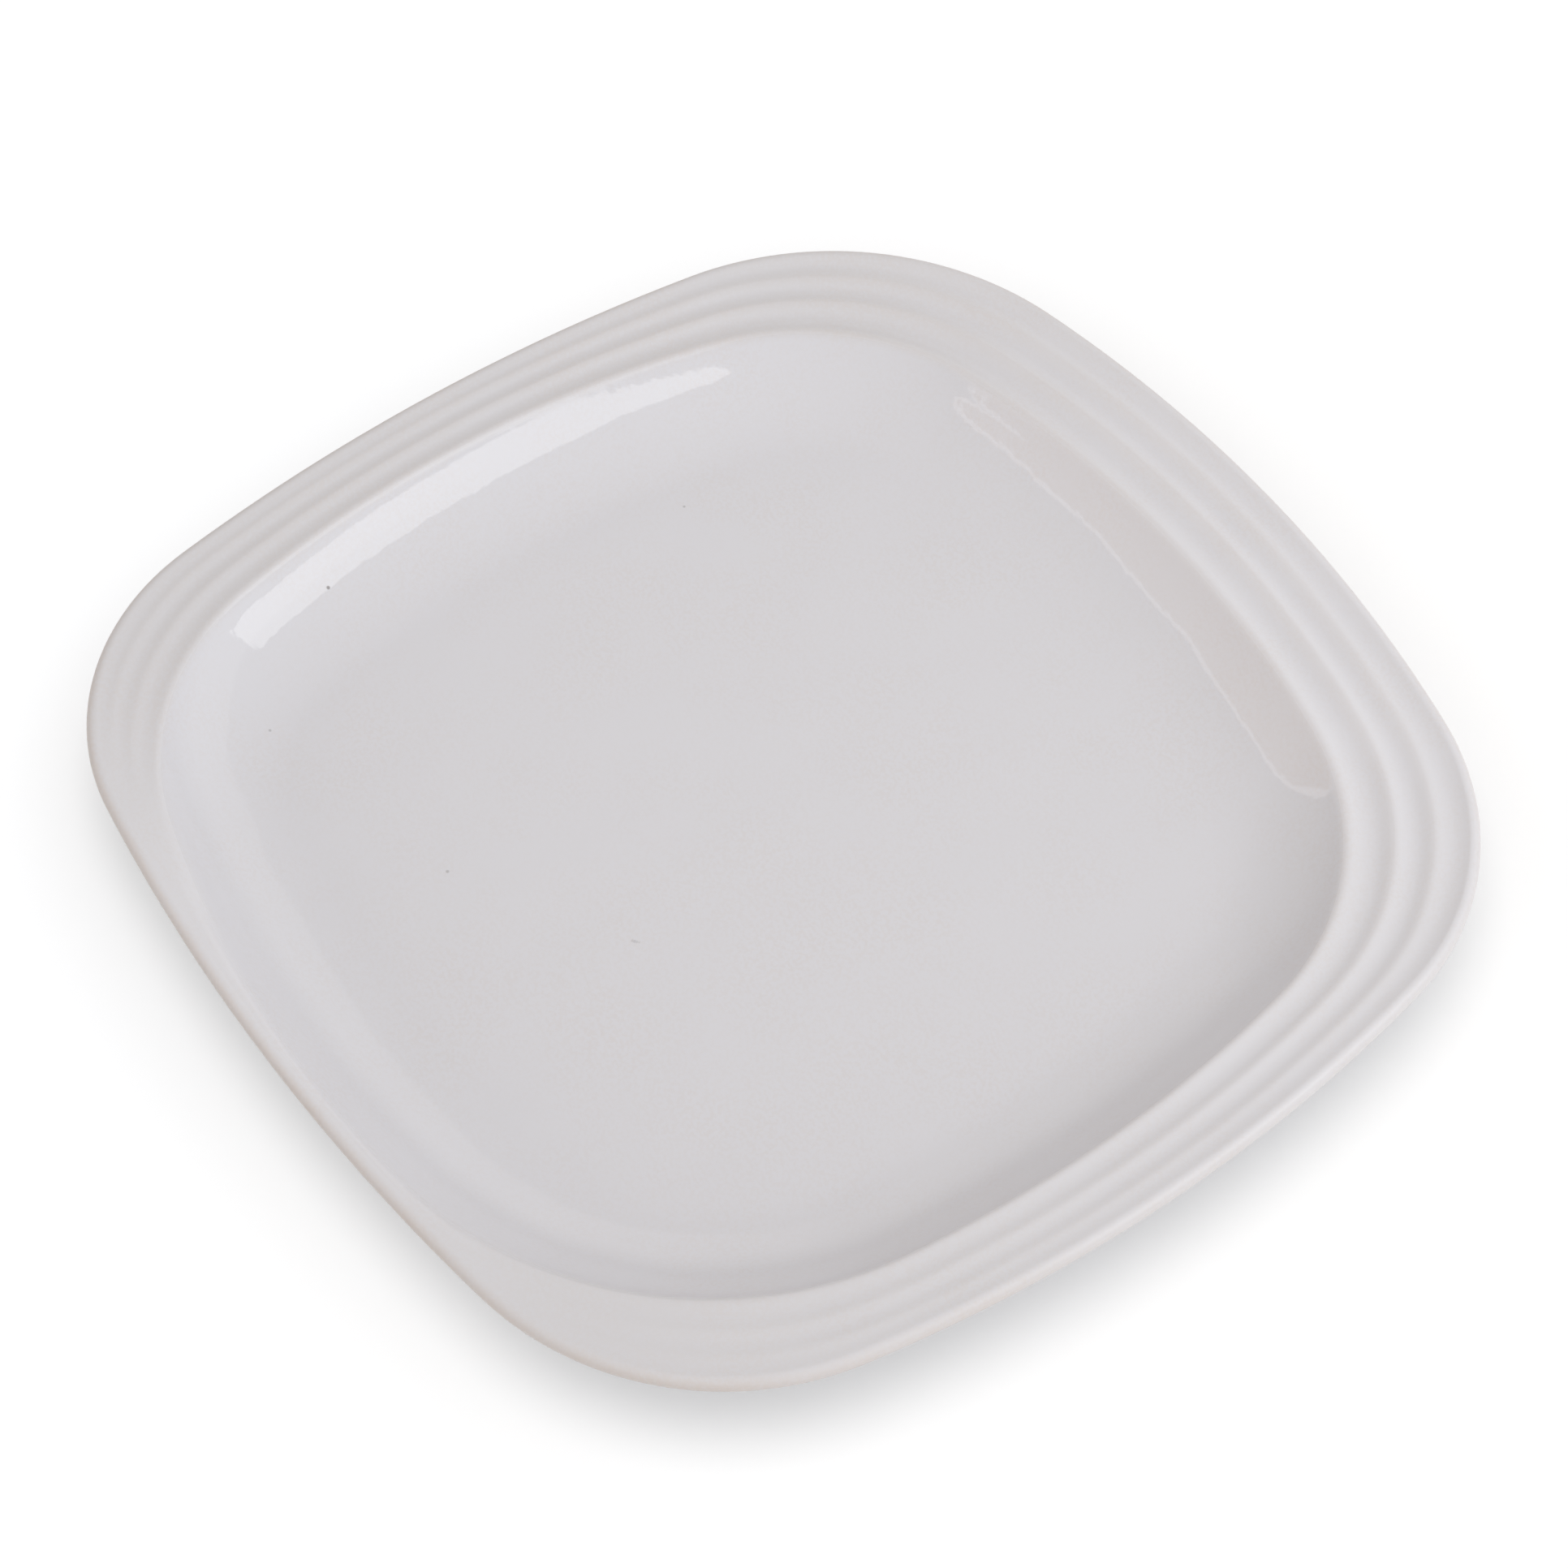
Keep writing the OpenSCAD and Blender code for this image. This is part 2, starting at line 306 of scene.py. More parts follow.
class GlazeLooks(bpy.types.PropertyGroup):
    glaze: FloatVectorProperty(
        name="Glaze", description="Colour of the coat", size=3, subtype="COLOR", default=(0.662, 0.652, 0.680),
    )
    thin: FloatVectorProperty(
        name="Thin glaze", description="Colour where the clay shows through", size=3, subtype="COLOR",
        default=(0.600, 0.525, 0.480),
    )
    satin: FloatVectorProperty(
        name="Satin glaze", description="Colour of the satin coat on the flutes and the lip", size=3, subtype="COLOR",
        default=(0.607, 0.590, 0.601),
    )
    # Painted light: the rim's satin painted paler on some turns, through the thick mask
    painted_light_satin: FloatVectorProperty(
        name="Thick satin glaze", description="Colour of the satin coat where it lies thick", size=3,
        subtype="COLOR", default=(0.694, 0.684, 0.709),
    )
    pooled: FloatVectorProperty(
        name="Pooled glaze", description="Colour where the coat is thick", size=3, subtype="COLOR",
        default=(0.655, 0.648, 0.685),
    )
    speck: FloatVectorProperty(
        name="Specks", description="Colour of the small iron specks", size=3, subtype="COLOR",
        default=(0.16, 0.14, 0.13),
    )
    clay: FloatVectorProperty(
        name="Clay", description="Colour of the bare fired clay", size=3, subtype="COLOR",
        default=(0.53, 0.44, 0.335),
    )


class StudioSetup(bpy.types.PropertyGroup):
    camera_turn: FloatProperty(
        name="Turn", description="Turn of the camera round the plate", default=math.radians(54.326), subtype="ANGLE",
    )
    camera_rise: FloatProperty(
        name="Rise", description="Angle of the camera above the table", default=math.radians(55.793), subtype="ANGLE",
    )
    camera_roll: FloatProperty(
        name="Roll", description="Roll of the camera", default=math.radians(0.52), subtype="ANGLE",
    )
    camera_far: FloatProperty(name="Distance", description="Distance to the lip", default=0.737755, unit="LENGTH")
    focal_px: FloatProperty(name="Focal length", description="In pixels of the photo", default=4066.07)
    shift_px: FloatVectorProperty(
        name="Shift", description="In pixels of the photo", size=2, default=(7.295, -35.887),
    )
    world_light: FloatProperty(
        name="Room light", description="Strength of the even light of the room", default=0.588,
    )
    softbox_light: FloatProperty(name="Softbox", description="Brightness of the softbox's face", default=2.2)


# ---------------------------------------------------------------- form of the plate


def near(heading, other):
    """Heading turned by whole turns to lie within half a turn of the other."""
    return other + (heading - other + 540.0) % 360.0 - 180.0


def heading_of(v):
    return np.degrees(np.arctan2(v[..., 1], v[..., 0]))


def crossing(a, ra, b, rb, out):
    """Where two circles cross, on the side that lies further out."""
    span = np.hypot(*(b - a))
    along = (b - a) / span
    reach = (ra * ra - rb * rb + span * span) / (2 * span)
    rise = math.sqrt(max(0.0, ra * ra - reach * reach))
    across = np.array([-along[1], along[0]])
    p = a + along * reach + across * rise
    q = a + along * reach - across * rise
    return p if (p - q) @ out > 0 else q


class Outline:
    """A soft square of eight arcs, with a stop where each of the shared rays meets it."""

    def __init__(self, half, middle, bows, corners, shifts, rays):
        halves = (half[0], half[1], half[0], half[1])
        bows = np.array(bows)
        corners = np.array(corners)
        bow_at = np.array([
            middle + SIDES[k] * (halves[k] - bows[k]) - SIDES[(k + 1) % 4] * shifts[k] for k in range(4)
        ])
        corner_at = np.array([
            crossing(
                bow_at[k], bows[k] - corners[k], bow_at[(k + 1) % 4], bows[(k + 1) % 4] - corners[k],
                SIDES[k] + SIDES[(k + 1) % 4],
            )
            for k in range(4)
        ])
        towards = np.c_[np.cos(np.radians(rays)), np.sin(np.radians(rays))]

        def met(centre, radius):
            abreast = (towards * centre).sum(1)
            reach = abreast + np.sqrt(np.maximum(0.0, radius**2 - (centre**2).sum(1) + abreast**2))
            return near(heading_of(towards * reach[:, None] - centre), rays)

        k = np.floor((rays + 45.0) / 90.0).astype(int) % 4
        before = (k + 3) % 4
        on_bow = met(bow_at[k], bows[k])
        start = near(heading_of(corner_at[before] - bow_at[k]), rays)
        end = near(heading_of(corner_at[k] - bow_at[k]), rays)
        corner = np.where(on_bow < start, before, k)
        is_bow = (on_bow >= start) & (on_bow <= end)
        self.centre = np.where(is_bow[:, None], bow_at[k], corner_at[corner])
        self.radius = np.where(is_bow, bows[k], corners[corner])
        heading = np.radians(np.where(is_bow, on_bow, met(corner_at[corner], corners[corner])))
        self.out = np.c_[np.cos(heading), np.sin(heading)]

    def ring(self, inset, z):
        """Ring of points drawn in from the outline, at a height or at a height for each stop."""
        flat = self.centre + self.out * (self.radius - inset)[:, None]
        return np.c_[flat, np.broadcast_to(z, len(flat))]


class PlateForm:
    """Rings of points over the plate's surfaces, at any depth below its finished face."""

    def __init__(self, sizes):
        s = self.s = sizes
        turn = 360.0 * np.arange(STOPS) / STOPS
        self.turn = np.radians(turn)
        rays = turn + CORNER_PULL * np.sin(4 * self.turn)
        bows = np.array([s.right_bow_r, s.back_bow_r, s.left_bow_r, s.front_bow_r])
        corners = np.array([s.back_right_r, s.back_left_r, s.front_left_r, s.front_right_r])
        self.lip_inner_w = s.lip_r * (1 - math.cos(math.radians(LIP_INNER_HEADING)))
        edge_in = np.array([s.band_right_w, s.band_back_w, s.band_left_w, s.band_front_w]) + self.lip_inner_w
        half = s.plate_w / 2
        self.middle = np.array([edge_in[2] - edge_in[0], edge_in[3] - edge_in[1]]) / 2
        well_half = np.array([s.plate_w - edge_in[0] - edge_in[2], s.plate_w - edge_in[1] - edge_in[3]]) / 2
        self.rim = Outline((half, half), np.zeros(2), bows, corners, (0, 0, 0, s.front_bow_shift), rays)
        self.well = Outline(
            well_half, self.middle, bows * WELL_BOW_SHARES, corners * WELL_CORNER_SHARES, (0, 0, 0, 0), rays,
        )
        lip_line = self.lip(LIP_INNER_HEADING, 0.0)
        self.band_w = ((lip_line - self.well.ring(0.0, 0.0))[:, :2] * self.rim.out).sum(1)
        self.edge_z = lip_line[:, 2] - FALL_SHARE * self.band_w
        self.plate_t = s.floor_h - s.foot_h
        self.foot_outer_in = s.wall_run + s.foot_step
        self.foot_inner_in = self.foot_outer_in + s.glaze_t + 2 * s.foot_chamfer + s.foot_w
        facing = (1 + np.cos(self.turn - math.radians(FLUTE_DEEPEST))) / 2
        self.flute_depth = FLUTE_DEPTH_SHARE * facing ** FLUTE_FADE

    def lip(self, turn, depth):
        a = math.radians(turn)
        r = self.s.lip_r
        return self.rim.ring(r - (r - depth) * math.cos(a), self.s.plate_h - r + (r - depth) * math.sin(a))

    def wall(self, share, depth):
        s = self.s
        lean = s.wall_lean * share
        inset = s.wall_run * (1 - math.sin(lean) / math.sin(s.wall_lean)) - depth * math.sin(lean)
        climb = (1 - math.cos(lean)) / (1 - math.cos(s.wall_lean))
        return self.well.ring(inset, s.floor_h + (self.edge_z - s.floor_h) * climb - depth * math.cos(lean))

    def band_share(self, k):
        wide = (CREST_SHARES[k] * (self.band_w + self.lip_inner_w) - self.lip_inner_w) / self.band_w
        return np.maximum(LEAST_BAND_SHARES[k], wide)

    def crest(self, k, depth):
        share = self.band_share(k)[:, None]
        return self.lip(LIP_INNER_HEADING, depth) * (1 - share) + self.wall(1.0, depth) * share

    def flute(self, k, share, depth):
        ring = self.crest(k, depth) * (1 - share) + self.crest(k + 1, depth) * share
        deep = self.flute_depth * self.band_w * (self.band_share(k + 1) - self.band_share(k))
        deep = deep * (OUTER_FLUTE_SHARE if k == 0 else 1.0)
        drawn = share * (1 + HOLLOW_SKEW_SHARE) / (1 + share * HOLLOW_SKEW_SHARE)
        ring[:, 2] -= 4 * drawn * (1 - drawn) * deep
        return ring

    def flutes(self, depth, steps):
        return [self.flute(k, i / steps, depth) for k in range(FLUTES) for i in range(1, steps + 1)]

    def face(self, depth):
        """Softened face, from the bead under the lip in to the outer part of the floor."""
        rings = [self.lip(turn, depth) for turn in np.linspace(-90, LIP_INNER_HEADING, LIP_STEPS)]
        rings += self.flutes(depth, FLUTE_STEPS)
        rings += [self.wall(share, depth) for share in np.linspace(1, 0, WALL_STEPS + 1)[1:]]
        rings += self.floor(self.s.floor_h - depth, np.linspace(1, FLOOR_JOIN_SHARE, FLOOR_JOIN_STEPS)[1:])
        grid = np.array(rings)
        step = np.linalg.norm(np.diff(grid, axis=0), axis=2)
        along = np.concatenate([np.zeros((1, STOPS)), np.cumsum(step, axis=0)])
        from_lip = along - along[LIP_STEPS - 1]
        to_end = along[-1] - along
        flute_w = (self.band_w + self.lip_inner_w) / FLUTES
        run_out = np.exp(-((flute_w - RUN_OUT_FLUTE_W) / RUN_OUT_SPREAD) ** 2)
        full = ROUNDING_SHARE * flute_w + RUN_OUT_ROUNDING * run_out
        width = np.clip(LIP_ROUNDING + LIP_ROUNDING_GROWTH * from_lip, LEAST_ROUNDING, full)
        width = np.minimum(width, LEAST_ROUNDING + to_end / FLOOR_ROUNDING_PARTS)
        return softened(grid, width)

    def underside(self, depth, wall_steps, rim_shares):
        """From the foot ring up the outside of the wall and out to the lip."""
        rings = [self.wall(share, self.plate_t - depth) for share in np.linspace(0, UNDER_WALL_SHARE, wall_steps)]
        shoulder = rings[-1]
        bead = self.lip(-90, depth)
        lift = UNDER_RISE_SHARE * np.hypot(*(bead - shoulder)[:, :2].T)
        for share in rim_shares:
            ring = shoulder * (1 - share) + bead * share
            ring[:, 2] += 4 * share * (1 - share) * lift
            rings.append(ring)
        return rings

    def floor(self, z, shares):
        """Rings on a flat floor, from the foot of the wall in towards the middle."""
        start = self.well.ring(self.s.wall_run, z)
        centre = self.centre(z)
        return [centre + (start - centre) * share for share in shares]

    def centre(self, z):
        return np.array([self.middle[0], self.middle[1], z])


def softened(grid, widths):
    """Rounds each section of the plate, as wet glaze does, by a width given for every point."""
    step = np.linalg.norm(np.diff(grid, axis=0), axis=2)
    along = np.concatenate([np.zeros((1, grid.shape[1])), np.cumsum(step, axis=0)])
    share = np.gradient(along, axis=0) + 1e-9
    out = np.empty_like(grid)
    for i in range(len(grid)):
        pull = np.exp(-0.5 * ((along[i] - along) / widths[i]) ** 2) * share
        out[i] = (pull[..., None] * grid).sum(0) / pull.sum(0)[:, None]
    return out


def hand_waves(grid, weight):
    """Adds the slight unevenness of a pressed and dipped plate to the heights."""
    rng = np.random.default_rng(WAVE_SEED)
    x = grid[..., 0]
    y = grid[..., 1]
    rise = np.zeros(x.shape)
    for _ in range(WAVE_COUNT):
        length = rng.uniform(*WAVE_LENGTHS)
        heading = rng.uniform(0, math.tau)
        phase = rng.uniform(0, math.tau)
        turns = (x * math.cos(heading) + y * math.sin(heading)) * math.tau / length
        rise += np.sin(turns + phase) * WAVE_SLOPE * length / math.tau
    grid[..., 2] += rise * weight


def bend_mask(grid, sign, scale):
    """How strongly the section bends out (sign 1) or in (sign -1) at each point, from 0 to 1."""
    step = grid[1:] - grid[:-1]
    length = np.linalg.norm(step, axis=2) + 1e-9
    unit = step / length[..., None]
    turn = unit[1:] - unit[:-1]
    run = (length[1:] + length[:-1]) / 2
    around = np.roll(grid, -1, axis=1) - np.roll(grid, 1, axis=1)
    normal = np.cross(unit[1:], around[1:-1])
    normal /= np.linalg.norm(normal, axis=2, keepdims=True) + 1e-12
    bend = (turn * normal).sum(2) / run
    bend = np.pad(bend, ((1, 1), (0, 0)), mode="edge")
    return np.clip(sign * bend * scale, 0.0, 1.0)


# ---------------------------------------------------------------- meshes


def point_values(*parts):
    """Values of a mask for each point of a loft, with none at its two end points."""
    return np.concatenate([(0.0,), *parts, (0.0,)])


def lofted(name, first, rings, last, masks=None):
    """Mesh over a list of rings, closed by a point at each end, with smooth shading."""
    n = STOPS
    count = len(rings)
    points = np.concatenate([[first]] + list(rings) + [[last]])
    top = count * n + 1
    i = np.arange(n)
    j = (i + 1) % n
    fan_a = np.c_[np.zeros(n, int), 1 + i, 1 + j]
    fan_b = np.c_[np.full(n, top), top - n + j, top - n + i]
    rows = (1 + n * np.arange(count - 1))[:, None]
    quads = np.stack([rows + i, rows + n + i, rows + n + j, rows + j], axis=2).reshape(-1, 4)
    low, high = box_of(name)
    points = np.clip(points, low, high)
    mesh = bpy.data.meshes.new(name)
    mesh.from_pydata(points.tolist(), [], fan_a.tolist() + quads.tolist() + fan_b.tolist())
    mesh.update()
    mesh.shade_smooth()
    for mask, values in (masks or {}).items():
        layer = mesh.attributes.new(mask, "FLOAT", "POINT")
        layer.data.foreach_set("value", np.asarray(values, np.float32))
    obj = bpy.data.objects.new(name, mesh)
    bpy.context.scene.collection.objects.link(obj)
    return obj


def box_of(name):
    """Lowest and highest corner of the solid that a piece stands for."""
    low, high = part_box(NODE_OF[name])
    return np.array(low), np.array(high)


def dress(obj, material):
    """Gives a piece its body and its finish, and hides the solid that it stands for."""
    obj.data.materials.append(material)
    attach(obj, BODY)
    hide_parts(NODE_OF[obj.name])


# ---------------------------------------------------------------- finishes


class Nodes:
    """Short way to place and link shader nodes in one tree."""

    def __init__(self, tree):
        self.tree = tree
        self.x = -1400

    def add(self, kind, **settings):
        node = self.tree.nodes.new(kind)
        self.x += 60
        node.location = (self.x, -300)
        for key, value in settings.items():
            setattr(node, key, value)
        return node

    def link(self, value, socket):
        if isinstance(value, bpy.types.NodeSocket):
            self.tree.links.new(value, socket)
        else:
            socket.default_value = value

    def math(self, operation, a, b=0.0, c=0.0, clamp=False):
        node = self.add("ShaderNodeMath", operation=operation, use_clamp=clamp)
        for value, socket in zip((a, b, c), node.inputs):
            self.link(value, socket)
        return node.outputs[0]

    def mix(self, factor, a, b):
        node = self.add("ShaderNodeMix", data_type="RGBA")
        self.link(factor, node.inputs["Factor"])
        self.link(a, node.inputs["A"])
        self.link(b, node.inputs["B"])
        return node.outputs["Result"]

    def span(self, value, from_low, from_high, to_low, to_high):
        node = self.add("ShaderNodeMapRange")
        for key, number in zip(("Value", "From Min", "From Max", "To Min", "To Max"),
                               (value, from_low, from_high, to_low, to_high)):
            self.link(number, node.inputs[key])
        return node.outputs["Result"]

    def noise(self, place, scale, detail, rough):
        node = self.add("ShaderNodeTexNoise")
        self.link(place, node.inputs["Vector"])
        node.inputs["Scale"].default_value = scale
        node.inputs["Detail"].default_value = detail
        node.inputs["Roughness"].default_value = rough
        return node.outputs["Fac"]

    def place(self):
        return self.add("ShaderNodeTexCoord").outputs["Object"]

    def seen(self):
        """1 where the camera looks, straight or in a reflection, and 0 for what lights the plate."""
        rays = self.add("ShaderNodeLightPath")
        both = self.math("MAXIMUM", rays.outputs["Is Camera Ray"], rays.outputs["Is Glossy Ray"])
        return self.math("MAXIMUM", both, rays.outputs["Is Transmission Ray"])

    def mask(self, name):
        return self.add("ShaderNodeAttribute", attribute_name=name).outputs["Fac"]


def rgba(colour):
    return (colour[0], colour[1], colour[2], 1.0)


def group_of(name, inputs, outputs):
    """Empty node group with its named sockets, and its input and output nodes."""
    tree = bpy.data.node_groups.new(name, "ShaderNodeTree")
    for kind, sockets in (("INPUT", inputs), ("OUTPUT", outputs)):
        for label, socket_type in sockets:
            tree.interface.new_socket(label, in_out=kind, socket_type=socket_type)
    made = Nodes(tree)
    return tree, made, made.add("NodeGroupInput"), made.add("NodeGroupOutput")


def iron_speck_group():
    """Small round mark of a given radius at a given place on the plate."""
    name = "Iron speck"
    if name in bpy.data.node_groups:
        return bpy.data.node_groups[name]
    tree, made, given, out = group_of(
        name,
        (("Place", "NodeSocketVector"), ("Centre", "NodeSocketVector"), ("Radius", "NodeSocketFloat")),
        (("Mark", "NodeSocketFloat"),),
    )
    gap = made.add("ShaderNodeVectorMath", operation="DISTANCE")
    made.link(given.outputs["Place"], gap.inputs[0])
    made.link(given.outputs["Centre"], gap.inputs[1])
    inner = made.math("MULTIPLY", given.outputs["Radius"], 0.5)
    made.link(made.span(gap.outputs["Value"], inner, given.outputs["Radius"], 1.0, 0.0), out.inputs["Mark"])
    return tree


def glaze_film_group():
    """Coat of glaze: thin and warm on edges, cool where it pools, satin on the rim with painted light that makes it
    paler on some turns, mottled and specked.
    """
    name = "Glaze film"
    if name in bpy.data.node_groups:
        return bpy.data.node_groups[name]
    tree, made, given, out = group_of(
        name,
        (("Glaze", "NodeSocketColor"), ("Thin glaze", "NodeSocketColor"), ("Pooled glaze", "NodeSocketColor"),
         ("Satin glaze", "NodeSocketColor"), ("Thick satin glaze", "NodeSocketColor"),
         ("Speck colour", "NodeSocketColor"), ("Thick", "NodeSocketFloat"), ("Thin", "NodeSocketFloat"),
         ("Pooled", "NodeSocketFloat"), ("Satin", "NodeSocketFloat"), ("Mottle", "NodeSocketFloat")),
        (("Colour", "NodeSocketColor"), ("Roughness", "NodeSocketFloat"), ("Height", "NodeSocketFloat")),
    )
    place = made.place()
    patchy = made.noise(place, *GLAZE_PATCHES)
    fine = made.noise(place, *GLAZE_GRAIN)
    broken = made.math("MULTIPLY", given.outputs["Thin"], made.span(patchy, 0.25, 0.7, 0.55, 1.1))
    # Thick mixes in the paler satin, painted light on some turns of the rim
    satin = made.mix(given.outputs["Thick"], given.outputs["Satin glaze"], given.outputs["Thick satin glaze"])
    colour = made.mix(given.outputs["Satin"], given.outputs["Glaze"], satin)
    pooled = made.math("MULTIPLY_ADD", given.outputs["Satin"], -0.5, c=1.0)
    pool = made.math("MULTIPLY", given.outputs["Pooled"], pooled)
    colour = made.mix(pool, colour, given.outputs["Pooled glaze"])
    colour = made.mix(broken, colour, given.outputs["Thin glaze"])
    patches = made.span(patchy, 0.35, 0.65, 0.15, 1.0)
    grains = made.math("MULTIPLY", made.span(fine, 0.42, 0.62, 0.0, 1.0), patches)
    colour = made.mix(made.math("MULTIPLY", given.outputs["Mottle"], grains), colour, given.outputs["Thin glaze"])
    cool = made.math("MULTIPLY", given.outputs["Mottle"], made.span(fine, 0.5, 0.3, 0.0, 1.0))
    colour = made.mix(cool, colour, given.outputs["Pooled glaze"])
    cells = made.add("ShaderNodeTexVoronoi", feature="F1")
    made.link(place, cells.inputs["Vector"])
    cells.inputs["Scale"].default_value = SPECK_CELLS
    dot = made.span(cells.outputs["Distance"], *SPECK_DOT, 1.0, 0.0)
    pick = made.add("ShaderNodeSeparateColor")
    made.link(cells.outputs["Color"], pick.inputs["Color"])
    rare = made.math("GREATER_THAN", pick.outputs["Red"], SPECK_RARE)
    specks = made.math("MULTIPLY", made.math("MULTIPLY", dot, rare), SPECK_STRENGTH, clamp=True)
    for centre, radius, strength in IRON_SPECKS:
        mark = made.add("ShaderNodeGroup", node_tree=iron_speck_group())
        made.link(place, mark.inputs["Place"])
        mark.inputs["Centre"].default_value = centre
        mark.inputs["Radius"].default_value = radius
        specks = made.math("MAXIMUM", specks, made.math("MULTIPLY", mark.outputs["Mark"], strength))
    colour = made.mix(specks, colour, given.outputs["Speck colour"])
    made.link(colour, out.inputs["Colour"])
    dull = made.math("MULTIPLY", given.outputs["Satin"], SATIN_ROUGHNESS)
    made.link(made.math("ADD", made.span(patchy, 0.2, 0.8, *GLAZE_ROUGHNESS), dull), out.inputs["Roughness"])
    peel = made.noise(place, *GLAZE_PEEL)
    swell = made.noise(place, *GLAZE_SWELL)
    pits = made.math("MULTIPLY", specks, -0.4)
    height = made.math("ADD", peel, made.math("MULTIPLY", swell, 2.0))
    calm = made.math("SUBTRACT", 1.0, made.math("MULTIPLY", given.outputs["Thin"], 0.9))
    made.link(made.math("MULTIPLY", made.math("ADD", height, pits), calm), out.inputs["Height"])
    return tree


def surface(name):
    """New material with its shader, and a helper for the rest of its nodes."""
    material = bpy.data.materials.new(name)
    material.use_nodes = True
    made = Nodes(material.node_tree)
    return material, made, material.node_tree.nodes["Principled BSDF"]


def glaze_material(name, looks, masks, mottle, bump_h):
    """Glossy glaze for one piece, from the shared film and the piece's own masks."""
    material, made, shader = surface(name)
    film = made.add("ShaderNodeGroup", node_tree=glaze_film_group())
    for key, value in (
        ("Glaze", rgba(looks.glaze)), ("Thin glaze", rgba(looks.thin)), ("Pooled glaze", rgba(looks.pooled)),
        ("Satin glaze", rgba(looks.satin)), ("Thick satin glaze", rgba(looks.painted_light_satin)),
        ("Speck colour", rgba(looks.speck)), ("Mottle", mottle),
    ):
        made.link(value, film.inputs[key])
    for key in masks:
        made.link(made.mask(key.lower()), film.inputs[key])
    made.link(film.outputs["Colour"], shader.inputs["Base Color"])
    made.link(film.outputs["Roughness"], shader.inputs["Roughness"])
    bump = made.add("ShaderNodeBump")
    bump.inputs["Distance"].default_value = bump_h
    bump.inputs["Strength"].default_value = 1.0
    made.link(film.outputs["Height"], bump.inputs["Height"])
    made.link(bump.outputs["Normal"], shader.inputs["Normal"])
    shader.inputs["IOR"].default_value = GLAZE_IOR
    return material


def clay_material(looks):
    """Bare fired clay: matt, sandy, ground pale where it touches the table."""
    material, made, shader = surface("Fired clay")
    place = made.place()
    blotch = made.noise(place, *CLAY_BLOTCH)
    sand = made.noise(place, *CLAY_SAND)
    grit = made.noise(place, *CLAY_GRIT)
    clay = Vector(looks.clay)
    colour = made.mix(made.span(blotch, 0.3, 0.7, 0.0, 1.0), rgba(clay * 0.86), rgba(clay * 1.06))
    colour = made.mix(made.span(sand, 0.56, 0.72, 0.0, 0.55), colour, rgba(clay * 0.62))
    colour = made.mix(made.math("MULTIPLY", made.mask("ground"), 0.5), colour, rgba(clay * 1.22))
    made.link(colour, shader.inputs["Base Color"])
    made.link(made.span(grit, 0.3, 0.7, 0.72, 0.92), shader.inputs["Roughness"])
    bump = made.add("ShaderNodeBump")
    bump.inputs["Distance"].default_value = CLAY_BUMP_H
    bump.inputs["Strength"].default_value = CLAY_BUMP
    made.link(made.math("ADD", sand, grit), bump.inputs["Height"])
    made.link(bump.outputs["Normal"], shader.inputs["Normal"])
    return material


# ---------------------------------------------------------------- operators


def face_weight(face):
    """How much of the unevenness each ring of the face takes: none under the lip, all from the flutes in."""
    rows = np.arange(len(face), dtype=float)
    return np.clip((rows - LIP_STEPS / 2) / LIP_STEPS, 0.0, 1.0)[:, None]


def hidden_face(form, depth):
    """Face at the depth of the clay, where only every third ring is needed."""
    face = form.face(depth)
    hand_waves(face, face_weight(face))
    return list(face[:-1:3]) + [face[-1]]


